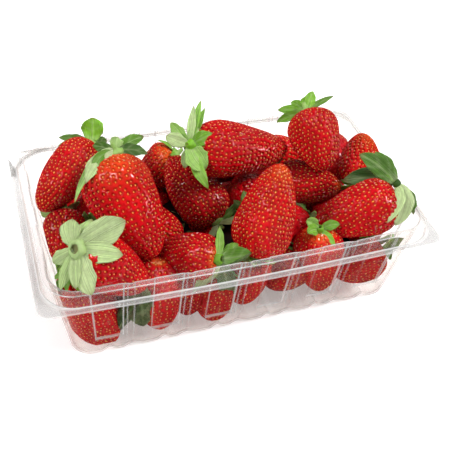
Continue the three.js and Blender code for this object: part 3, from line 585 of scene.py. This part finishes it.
def add_leaf(shape, at, up, data, rng, rounded, grid):
    """A sepal: a folded, wavy blade with two faces and an edge."""
    _, width, _, _, tone = data
    s, v = np.linspace(0, 1, grid[0] + 1), np.linspace(-1, 1, grid[1] + 1)
    spine, along, normal = leaf_spine(at, up, data, s)
    across = np.cross(normal, along)
    half = width / 2 * np.interp(s, OUTLINE_AT, POINTED + (ROUNDED - POINTED) * rounded)
    fold = rng.uniform(0.05, 0.24)
    ripple = rng.uniform(0.03, 0.08) * width
    phase = rng.uniform(0, 2 * pi, 3)
    roll = rng.normal(0, 0.2) * s
    teeth = rng.uniform(0.03, 0.08)
    blade = np.zeros((len(s), len(v), 3))
    for j, place in enumerate(v):
        out, lag = abs(place), np.sign(place)
        flat = place * half * (1 + teeth * out ** 3 * np.sin(17 * s + phase[2] + 2 * lag))
        wave = ripple * out ** 1.5 * np.sin(8 * s + phase[0] + 2.2 * lag) * np.sin(pi * s) ** 0.5
        bump = fold * np.abs(flat) * (0.5 + 0.5 * out) + wave
        sideways = flat * np.cos(roll) - bump * np.sin(roll)
        height = flat * np.sin(roll) + bump * np.cos(roll)
        blade[:, j] = spine + sideways[:, None] * across + height[:, None] * normal
    thick = normal[:, None, :] * (LEAF_THICKNESS * (1 - 0.5 * s)[:, None, None] / 2)
    points = press_inside(np.concatenate([(blade + thick).reshape(-1, 3), (blade - thick).reshape(-1, 3)]),
                          WALL_GAP + 0.2)
    # A blade that a wall has pressed flat gets a little of its thickness back.
    count = len(s) * len(v)
    thin = np.linalg.norm(points[:count] - points[count:], axis=1) < 0.05
    points[:count][thin] += (np.repeat(normal, len(v), 0) * 0.1)[thin]
    colours = leaf_colours(tone, s, v, phase[1], rng)
    # The relief is the distance across the blade, which its fine ribs follow.
    stripe = 20 * rng.random() + half[:, None] * v[None, :] * (1 + 0.15 * np.sin(5 * s[:, None] + phase[2]))
    faces = leaf_faces(np.arange(count).reshape(len(s), len(v)))
    shape.add(points, faces, colours, np.tile(stripe.reshape(-1), 2))


# The middle of a calyx, from its foot to its top: radius as a share of the hub's, and height.
DOMED = ((0.0, -2.2), (1.0, -1.4), (0.95, 0.1), (0.6, 0.75), (0.45, 1.0))
HOLLOW = ((0.0, -2.2), (1.0, -1.4), (1.02, 0.4), (0.92, 1.6), (0.70, 2.1), (0.52, 1.9),
          (0.44, 0.8), (0.0, 0.1))
# The stub of a stalk on a dome: radius, and height without the stub's own length.
STUB = ((1.15, 1.5, 0), (1.05, 1.2, 1), (0.85, 1.45, 1), (0.35, 1.2, 1), (0.0, 1.05, 1))
STUB_LEAN = (0.4, 0.3)
HUB_SIDES = 20


def lathe_faces(radii, sides):
    """Triangles of a turned shape, ring by ring, where a radius of 0 is a single vertex."""
    faces, start = [], 0
    for low, high in zip(radii, radii[1:]):
        above = start + (1 if low == 0 else sides)
        for i in range(sides):
            j = (i + 1) % sides
            if low == 0:
                faces.append((start, above + j, above + i))
            elif high == 0:
                faces.append((start + i, start + j, above))
            else:
                faces += [(start + i, start + j, above + j), (start + i, above + j, above + i)]
        start = above
    return faces


def add_hub(shape, at, crown, radius, stalk, tone):
    """The middle of a calyx: domed, with the cut stub of its stalk, or a ring where the stalk came out."""
    side, other, up = crown
    if stalk > 0:
        rows = [(r * radius, h) for r, h in DOMED] + [(r, h + stalk * share) for r, h, share in STUB]
    else:
        rows = [(r * radius, h) for r, h in HOLLOW]
    points, colours = [], []
    for k, (r, h) in enumerate(rows):
        drift = max(0.0, h - 1) / max(stalk, 1)
        for i in range(1 if r == 0 else HUB_SIDES):
            turn = 2 * pi * i / HUB_SIDES
            reach = r * (1 + 0.10 * sin(5 * turn) * min(1.0, r / radius))
            points.append(at + reach * (cos(turn) * side + sin(turn) * other) + h * up
                          + drift * (STUB_LEAN[0] * side + STUB_LEAN[1] * other))
            shade = leaf_tone(tone) * (1 + 0.12 * sin(10 * turn))
            if k >= len(rows) - 2:
                shade = shade * 0.35 + LEAF_BROWN * 0.5
            colours.append(shade)
    shape.add(press_inside(points), lathe_faces([r for r, _ in rows], HUB_SIDES), colours)


def add_calyx(shape, spec, rng, grid):
    base, tip = np.array(spec["calyx"], float), np.array(spec["tip"], float)
    at, up = spec["crown"] or (base, base - tip)
    at = np.array(at, float)
    side, other, up = frame_around(up)
    if spec["leaves"] is not None:
        for leaf_tip, width, *rest in spec["leaves"]:
            data = (np.array(leaf_tip, float), width, *rest)
            add_leaf(shape, at, up, data, rng, min(0.6, 0.04 * width - 0.05), grid)
    else:
        for k in range(RING_LEAVES):
            turn = radians(360 * k / RING_LEAVES + rng.uniform(-12, 12))
            outward = cos(turn) * side + sin(turn) * other
            reach = rng.uniform(9, 13)
            end = at + reach * outward - rng.uniform(0, 0.35) * reach * up
            data = (end, rng.uniform(3.5, 5.5), 0.2 * reach, 0.0, 0.15 + 0.4 * rng.random())
            add_leaf(shape, at, up, data, rng, 0.3, grid)
    add_hub(shape, at, (side, other, up), spec["hub"], spec["stalk"], spec["hub_tone"])


# ---- tray

STRAIGHT_X, STRAIGHT_Y = 76, 39  # the walls' last stations before the corners
FIXED_X, FIXED_Y = 70, 34  # stations this far out stay put on every row; the rest stretch
LONG_STEP, SHORT_STEP = 1.0, 0.6
ARC = 14  # stations round a corner
# Places of the base's rungs from front to back, as shares of its half width.
RUNG_LEVELS = (-1.0, -0.94, -0.88, -0.8, -0.5, 0.0, 0.5, 0.8, 0.88, 0.94, 1.0)


def rise(offset, corners):
    """The height at offset of a curve through [place, height] corners, 0 beyond its ends."""
    xs, ys = zip(*corners)
    return np.interp(offset, xs, ys) if xs[0] <= offset <= xs[-1] else 0.0


def soften(values):
    """Rounds off the corners of a curve sampled round a closed outline."""
    return (np.roll(values, 1) + 2 * values + np.roll(values, -1)) / 4


def long_creases(centre):
    return PANEL_CREASES if centre == LAST_PANEL else PANEL_CREASES + FLUTE_CREASES


# How whitish a crease is painted at offset: a painted highlight standing in for the glint along it.
def painted_crease_highlight(offset, creases):
    return max(share * max(0.0, 1 - abs(offset - at) / CREASE_HALF) for at, share in creases)


def base_rise(x):
    """How far the base is raised at x: a notch at the foot of each panel, an arch beside it."""
    notches = sum(NOTCH_HEIGHT * rise(x - centre, NOTCH_SHAPE) for centre in LONG_CENTRES)
    return notches + sum(ARCH_HEIGHT * rise(x - centre, ARCH_SHAPE) for centre in LONG_CENTRES[:-1])


def long_places():
    """Stations along a long wall: evenly spaced, and on both edges of each whitish line."""
    places = set(np.arange(-STRAIGHT_X, STRAIGHT_X + 0.01, LONG_STEP))
    for centre in LONG_CENTRES:
        for at, _ in long_creases(centre):
            places.update((centre + at - CREASE_HALF, centre + at, centre + at + CREASE_HALF))
    return np.array(sorted(places))


def stretched(where, fixed, straight, limit):
    """A station near a corner moves with it, so that each row's wall ends where its corner starts."""
    if abs(where) < fixed:
        return where
    return copysign(fixed + (abs(where) - fixed) * (limit - fixed) / (straight - fixed), where)


class Outline:
    """The stations round the tray, and at each the shares of panel, flute, painted highlight line and raised
    base.
    """

    def __init__(self):
        long_x = long_places()
        short_y = np.arange(-STRAIGHT_Y, STRAIGHT_Y + 0.01, SHORT_STEP)
        self.long, self.short = len(long_x), len(short_y)
        walls = (("front", long_x, (1, -1)), ("right", short_y, (1, 1)),
                 ("back", long_x[::-1], (-1, 1)), ("left", short_y[::-1], (-1, -1)))
        self.stations = []
        for k, (wall, places, signs) in enumerate(walls):
            self.stations += [(wall, place, 0) for place in places]
            self.stations += [("corner", signs, 90 * (k - 1) + 90 * (i + 0.5) / ARC) for i in range(ARC)]
        self.count = len(self.stations)
        self.panel, self.flute, self.raised, self.crease_highlight = np.zeros((4, self.count))
        for k, (wall, where, _) in enumerate(self.stations):
            if wall in ("front", "back"):
                self.panel[k] = sum(rise(where - x, PANEL_SHAPE) for x in LONG_CENTRES)
                self.flute[k] = sum(rise(where - x, FLUTE_SHAPE) for x in LONG_CENTRES[:-1])
                self.crease_highlight[k] = max(painted_crease_highlight(where - x, long_creases(x)) for x in LONG_CENTRES)
                self.raised[k] = base_rise(where)
            elif wall in ("left", "right"):
                self.panel[k] = sum(rise(where - y, PANEL_SHAPE) for y in SHORT_CENTRES)
                self.crease_highlight[k] = max(painted_crease_highlight(where - y, PANEL_CREASES) for y in SHORT_CENTRES)
        self.panel, self.flute, self.raised = soften(self.panel), soften(self.flute), soften(self.raised)

    def ring(self, row, outward):
        """One row of the section, carried round the tray."""
        a, b, bow, radius, z, panel_share, flute_share, _ = SECTION[row]
        inward = PANEL_DEPTH * panel_share * self.panel - FLUTE_DEPTH * flute_share * self.flute
        points = np.zeros((self.count, 3))
        for k, (wall, where, angle) in enumerate(self.stations):
            if wall == "corner":
                is_round = where == ROUND_TAB and row >= FLANGE_ROW
                r = (ROUND_TAB_RADIUS if is_round else radius) + outward
                cx = where[0] * (a + outward - r)
                cy = where[1] * (b + outward - r + bow * cos(pi / 2 * min(1, abs(cx) / FLANGE_X)))
                turn = radians(angle)
                points[k] = (cx + r * cos(turn), cy + r * sin(turn), z)
            elif wall in ("front", "back"):
                x = stretched(where, FIXED_X, STRAIGHT_X, a + outward - radius - 0.5)
                y = b + outward - inward[k] + bow * cos(pi / 2 * x / FLANGE_X)
                points[k] = (x, -y if wall == "front" else y, z)
            else:
                y = stretched(where, FIXED_Y, STRAIGHT_Y, b + outward - radius)
                x = a + outward - inward[k]
                points[k] = (-x if wall == "left" else x, y, z)
        return points

    def face_rings(self, is_outer):
        """Every row of the sheet's inner or outer face."""
        rings = []
        for i in range(len(SECTION)):
            spread = SHEET if i < COLLAR_ROW else -SHEET
            drop = SHEET if i < 2 or i >= RIM_ROW else 0.0
            if i == len(SECTION) - 1:
                spread, drop = 0.0, 0.5
            points = self.ring(i, spread if is_outer else 0.0)
            if is_outer:
                points[:, 2] -= drop
            if i < len(RAISED_SHARES):
                points[:, 2] += self.raised * RAISED_SHARES[i]
            rings.append(points)
        if is_outer:
            rings[2][:, 2] = np.maximum(rings[2][:, 2] - 0.4, 0.02)
        return np.stack(rings)

    def painted_light_share(self, row):
        """How much of a row is painted over: its own fold's painted highlight, or half of what the lines
        down the wall have.
        """
        fold = SECTION[row][-1] * (self.panel if row in PANEL_FOOT_ROWS else np.ones(self.count))
        return np.maximum(fold, 0.5 * self.crease_highlight * (row in CREASE_ROWS))


def add_walls(shape, outline, rings, is_outer):
    index = np.arange(len(rings) * outline.count).reshape(len(rings), -1)
    following = np.roll(index, -1, 1)
    quads = np.stack([index[:-1], following[:-1], following[1:], index[1:]], -1).reshape(-1, 4)
    # Folds take the light painted highlight tone; the flat flange takes the painted grey.
    shade = np.array([FLANGE_PAINTED_GREY if i in FLAT_FLANGE_ROWS else PAINTED_HIGHLIGHT_TONE for i in range(len(rings))])
    tint = np.repeat(np.repeat(shade[:, None], 3, 1), outline.count, 0)
    # Each vertex's share of painted highlight, or painted grey, laid over the clear sheet.
    painted_light_share = np.concatenate([outline.painted_light_share(i) for i in range(len(rings))])
    shape.add(rings.reshape(-1, 3), quads if is_outer else quads[:, ::-1], tint, painted_light_share)


def add_base_grid(shape, grid, is_flipped):
    """A part of the base: a grid of points, turned over where is_flipped says."""
    index = np.arange(grid.shape[0] * grid.shape[1]).reshape(grid.shape[:2])
    quads = np.stack([index[:-1, :-1], index[1:, :-1], index[1:, 1:], index[:-1, 1:]], -1).reshape(-1, 4)
    shape.add(grid.reshape(-1, 3), quads[:, ::-1] if is_flipped else quads,
              np.full((index.size, 3), PAINTED_HIGHLIGHT_TONE), np.full(index.size, BASE_PAINTED_SHEEN))


def add_base(shape, outline, first, is_outer):
    """The base: rungs from front to back, down from the channels to the flat, and a strip at each end."""
    right = outline.long + ARC
    far_corner = right + outline.short
    left = far_corner + outline.long + 2 * ARC
    fronts = [*range(outline.count - ARC, outline.count), *range(right)]
    backs = range(left - 1, far_corner - 1, -1)
    flat = 0.0 if is_outer else SHEET
    rungs = np.zeros((len(fronts), len(RUNG_LEVELS), 3))
    for k, (front, back) in enumerate(zip(fronts, backs)):
        p, q = first[front], first[back]
        for j, level in enumerate(RUNG_LEVELS):
            y = (q[1] - p[1]) / 2 * level + (q[1] + p[1]) / 2
            fade = min(1.0, max(0.0, (abs(y) - CHANNEL_FADE) / (CHANNEL_FULL - CHANNEL_FADE)))
            fade = fade * fade * (3 - 2 * fade)
            rungs[k, j] = ((p[0] + q[0]) / 2, y, flat + (p[2] - flat) * fade)
        rungs[k, 0], rungs[k, -1] = p, q
    add_base_grid(shape, rungs, is_outer)
    for rung, wall, is_flipped in ((rungs[-1], range(right, right + outline.short), not is_outer),
                                   (rungs[0], range(left + outline.short - 1, left - 1, -1), is_outer)):
        line = first[list(wall)]
        inner = np.stack([np.interp(line[:, 1], rung[:, 1], rung[:, 0]), line[:, 1],
                          np.interp(line[:, 1], rung[:, 1], rung[:, 2])], 1)
        add_base_grid(shape, np.stack([inner, line], 1), is_flipped)


def tray_shape():
    """The sheet as an inner and an outer face."""
    shape, outline = Shape(), Outline()
    for is_outer in (False, True):
        rings = outline.face_rings(is_outer)
        add_walls(shape, outline, rings, is_outer)
        add_base(shape, outline, rings[0], is_outer)
    return shape


# ---- materials


def feed(tree, made, **values):
    """Sets a node's inputs: _1 is input 1, and a value may be another node's output."""
    for key, value in values.items():
        socket = made.inputs[int(key[1:]) if key[0] == "_" else key.replace("_", " ")]
        if isinstance(value, bpy.types.NodeSocket):
            tree.links.new(value, socket)
        else:
            socket.default_value = value


def node(tree, kind, output, **values):
    """Makes a node from its settings and inputs, and gives the output asked for."""
    made = tree.nodes.new("ShaderNode" + kind)
    for key, value in values.items():
        if hasattr(made, key):
            setattr(made, key, value)
        else:
            feed(tree, made, **{key: value})
    return made.outputs[output]


def new_material(name, **values):
    """A material, its tree and its Principled shader, with its plain values set."""
    material = bpy.data.materials.new(name)
    material.use_nodes = True
    shader = material.node_tree.nodes["Principled BSDF"]
    feed(material.node_tree, shader, **values)
    return material, material.node_tree, shader


def noise(tree, scale, detail):
    place = node(tree, "TexCoord", "Object")
    return node(tree, "TexNoise", "Fac", Vector=place, Scale=scale, Detail=detail)


def remap(tree, value, source, target, **settings):
    return node(tree, "MapRange", "Result", Value=value, From_Min=source[0], From_Max=source[1],
                To_Min=target[0], To_Max=target[1], **settings)


def scaled(tree, colour, factor):
    return node(tree, "VectorMath", "Vector", operation="SCALE", _0=colour, Scale=factor)


def surface(name, mottle, grain, pit=None, ribs=None, **values):
    """Vertex colour times a mottle (scale, darkest, lightest), under a fine grain (scale, strength).

    pit adds the rims of the dimples as (from, to, height), ribs the fine ribs along a leaf as (scale,
    darkest, lightest, height); both read relief, a distance in mm, and their heights are in metres.
    """
    material, tree, shader = new_material(name, **values)
    tint = node(tree, "Attribute", "Color", attribute_name="tint")
    relief = node(tree, "Attribute", "Fac", attribute_name="relief")
    colour = scaled(tree, tint, remap(tree, noise(tree, mottle[0], 5), (0.3, 0.7), mottle[1:]))
    raised = dict(Height=noise(tree, grain[0], 3), Strength=grain[1], Distance=0.0002)
    if pit:
        rim = remap(tree, relief, pit[:2], (0, 1), interpolation_type="SMOOTHSTEP")
        raised["Normal"] = node(tree, "Bump", "Normal", Height=rim, Strength=1, Distance=pit[2])
    if ribs:
        rib = node(tree, "TexNoise", "Fac", noise_dimensions="1D", W=relief, Scale=ribs[0], Detail=3)
        colour = scaled(tree, colour, remap(tree, rib, (0.35, 0.65), ribs[1:3]))
        raised["Normal"] = node(tree, "Bump", "Normal", Height=rib, Strength=1, Distance=ribs[3])
    feed(tree, shader, Base_Color=colour, Normal=node(tree, "Bump", "Normal", **raised))
    return material


def clear_sheet():
    """Seen through head on, milkier at a slant, glossy and painted whitish where it is folded, a painted
    highlight.
    """
    material, tree, shader = new_material("clear_plastic", Roughness=0.12, IOR=1.5)
    tint = node(tree, "Attribute", "Color", attribute_name="tint")
    # relief is the share of the sheet painted over: painted highlight on the folds, painted grey on the flat
    # flange.
    fold = node(tree, "Attribute", "Fac", attribute_name="relief")
    ripple = node(tree, "Bump", "Normal", Height=noise(tree, 60, 2), Strength=0.15, Distance=0.0006)
    feed(tree, shader, Base_Color=tint, Normal=ripple)
    clear = node(tree, "BsdfTransparent", "BSDF", Color=(0.985, 0.98, 0.972, 1))
    milky = node(tree, "BsdfTranslucent", "BSDF", Color=(0.93, 0.90, 0.87, 1))
    slant = node(tree, "LayerWeight", "Facing", Blend=0.5, Normal=ripple)
    steep = node(tree, "Math", "Value", operation="POWER", _0=slant, _1=4)
    sheen = node(tree, "Math", "Value", operation="MULTIPLY_ADD", _0=steep, _1=0.5, _2=0.02)
    film = node(tree, "MixShader", "Shader", Fac=sheen, _1=clear, _2=milky)
    sheet = node(tree, "MixShader", "Shader", Fac=fold, _1=film, _2=shader.outputs["BSDF"])
    feed(tree, tree.nodes["Material Output"], Surface=sheet)
    return material


skin_material = surface("strawberry_skin", (160, 0.8, 1.15), (1400, 0.015), pit=(0.30, 1.30, 0.0009),
                        Roughness=0.05, Specular_IOR_Level=0.5, Subsurface_Weight=0.06,
                        Subsurface_Radius=(1.0, 0.12, 0.06), Subsurface_Scale=0.0012)
seed_material = surface("seed", (900, 0.8, 1.15), (2500, 0.1), Roughness=0.4)
leaf_material = surface("sepal", (500, 0.9, 1.1), (1600, 0.4), ribs=(2.6, 0.8, 1.25, 0.0004),
                        Roughness=0.48, Specular_IOR_Level=0.3, Subsurface_Weight=0.1,
                        Subsurface_Radius=(0.3, 0.6, 0.1), Subsurface_Scale=0.0008)
core_material = surface("shaded_core", (120, 0.6, 1.2), (500, 0.3), Roughness=0.8, Specular_IOR_Level=0.1)

# ---- pieces

CORE_LENGTH, CORE_WIDTH, CORE_BOTTOM, CORE_TOP = 150, 68, 3, 27
CORE_SHADE_COLOUR = (0.012, 0.002, 0.002)
CORE_SIDES, CORE_ROWS = 48, 14


def ship(shape, name, material, node_name="strawberries"):
    """Builds a piece, hangs it on the root body, and hides the CAD node that it stands for."""
    obj = shape.build(name, material)
    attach(obj, "root")
    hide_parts(node_name)


def floor_berries(rng):
    """The fruit on the base, in rows, every second one the other way round."""
    for y, turn in FLOOR_ROWS:
        for i in range(FLOOR_COUNT):
            angle = radians(turn * (1 + rng.random())) + (pi if i % 2 else 0)
            half = np.array((cos(angle), sin(angle), -0.1)) * FLOOR_HALF
            middle = np.array(((i - FLOOR_COUNT // 2) * FLOOR_PITCH, y, FLOOR_HEIGHT))
            yield fruit(middle - half, middle + half, FLOOR_WIDTH)


def core_shape():
    """A lumpy mass in the middle of the heap, coloured near-black as painted shade, where nothing is seen
    but shade.
    """
    middle, half_height = (CORE_BOTTOM + CORE_TOP) / 2, (CORE_TOP - CORE_BOTTOM) / 2
    points = [(0, 0, CORE_BOTTOM)]
    for i in range(1, CORE_ROWS):
        v = pi * i / CORE_ROWS
        for j in range(CORE_SIDES):
            u = 2 * pi * j / CORE_SIDES
            box = (abs(cos(u)) ** 3 + abs(sin(u)) ** 3) ** (-1 / 3)
            wave = 1 + 0.05 * sin(5 * u + 2 * v) + 0.04 * sin(9 * u - 3 * v)
            reach = box * wave * sin(v) ** 0.5 / 2
            points.append((CORE_LENGTH * cos(u) * reach, CORE_WIDTH * sin(u) * reach,
                           middle - half_height * cos(v)))
    points.append((0, 0, CORE_TOP))
    radii = [0] + [1] * (CORE_ROWS - 1) + [0]
    shape = Shape()
    shape.add(points, lathe_faces(radii, CORE_SIDES), np.tile(CORE_SHADE_COLOUR, (len(points), 1)))
    return shape


def build_fruit():
    rng = np.random.default_rng(23)
    UNDER.update(enumerate(floor_berries(rng)))
    sepals, hidden_sepals = Shape(), Shape()
    for group, (berries, step) in GROUPS.items():
        skin, seeds = Shape(), Shape()
        for spec in berries.values():
            add_berry(skin, seeds, spec, step, rng)
            if step < COARSE:
                add_calyx(sepals, spec, rng, LEAF_GRID)
            else:
                add_calyx(hidden_sepals, spec, rng, HIDDEN_GRID)
        ship(skin, "berries_" + group, skin_material)
        ship(seeds, "seeds_" + group, seed_material)
    ship(sepals, "sepals", leaf_material)
    ship(hidden_sepals, "sepals_under", leaf_material)


ship(tray_shape(), "tray_shell", clear_sheet(), "tray")
build_fruit()
ship(core_shape(), "heap_core", core_material)

# ---- floor, light, camera

FLOOR_SIZE = 3.0  # half the floor's side, in metres
# Softboxes that light the set and don't show in the fruit: toward the lamp, strength, width in degrees.
SOFTBOXES = {"key": ((0.70, -0.20, 0.75), 3.0, 20), "left": ((-0.90, 0.0, 0.50), 2.0, 22),
             "top": ((-0.20, 0.20, 1.0), 1.3, 70)}
# Small lamps round the set that give the wet-looking glints alone.
GLINTS = (((0.70, -0.20, 0.75), 1.7), ((0.20, 0.15, 0.97), 0.9), ((0.95, -0.35, 0.30), 0.9),
          ((-0.35, -0.25, 0.90), 0.8), ((-0.75, 0.10, 0.65), 0.7))
GLINT_WIDTH = 10
# The photograph's viewpoint, in metres and degrees.
CAMERA_AT = (-0.1025, -0.2538, 0.2835)
CAMERA_TURN = (46.58, -4.72, -18.49)
LENS, SENSOR = 57.3, 36.0


def build_floor():
    mesh = bpy.data.meshes.new("floor")
    corners = [(x * FLOOR_SIZE, y * FLOOR_SIZE, 0) for x, y in ((-1, -1), (1, -1), (1, 1), (-1, 1))]
    mesh.from_pydata(corners, [], [(0, 1, 2, 3)])
    floor = add_object("floor", mesh)
    material, _, _ = new_material("floor", Base_Color=(0.85, 0.85, 0.85, 1), Roughness=0.9,
                                  Emission_Color=(1, 1, 1, 1), Emission_Strength=0.4)
    mesh.materials.append(material)
    floor.visible_glossy = False


def sun(name, direction, strength, spread, is_glint):
    """A distant lamp that either lights the set or shows in glossy surfaces."""
    data = bpy.data.lights.new(name, "SUN")
    data.energy = strength
    data.angle = radians(spread)
    obj = add_object(name, data)
    tilt, heading = acos(unit(direction)[2]), atan2(direction[1], direction[0])
    obj.rotation_euler = (tilt, 0, heading + pi / 2)
    obj.visible_glossy = is_glint
    obj.visible_diffuse = not is_glint


def build_studio():
    world = bpy.data.worlds.new("studio")
    world.use_nodes = True
    feed(world.node_tree, world.node_tree.nodes["Background"], Color=(1, 1, 1, 1), Strength=0.07)
    bpy.context.scene.world = world
    for name, (direction, strength, spread) in SOFTBOXES.items():
        sun(name, direction, strength, spread, is_glint=False)
    for i, (direction, strength) in enumerate(GLINTS):
        sun(f"glint_{i}", direction, strength, GLINT_WIDTH, is_glint=True)


def build_camera():
    data = bpy.data.cameras.new("camera")
    data.lens = LENS
    data.sensor_width = SENSOR
    camera = add_object("camera", data)
    camera.location = CAMERA_AT
    camera.rotation_euler = [radians(angle) for angle in CAMERA_TURN]
    return camera


build_floor()
build_studio()
bpy.context.scene.camera = build_camera()
bpy.context.scene.view_settings.view_transform = "Standard"
bpy.context.scene.cycles.transparent_max_bounces = 32

bpy.context.view_layer.update()
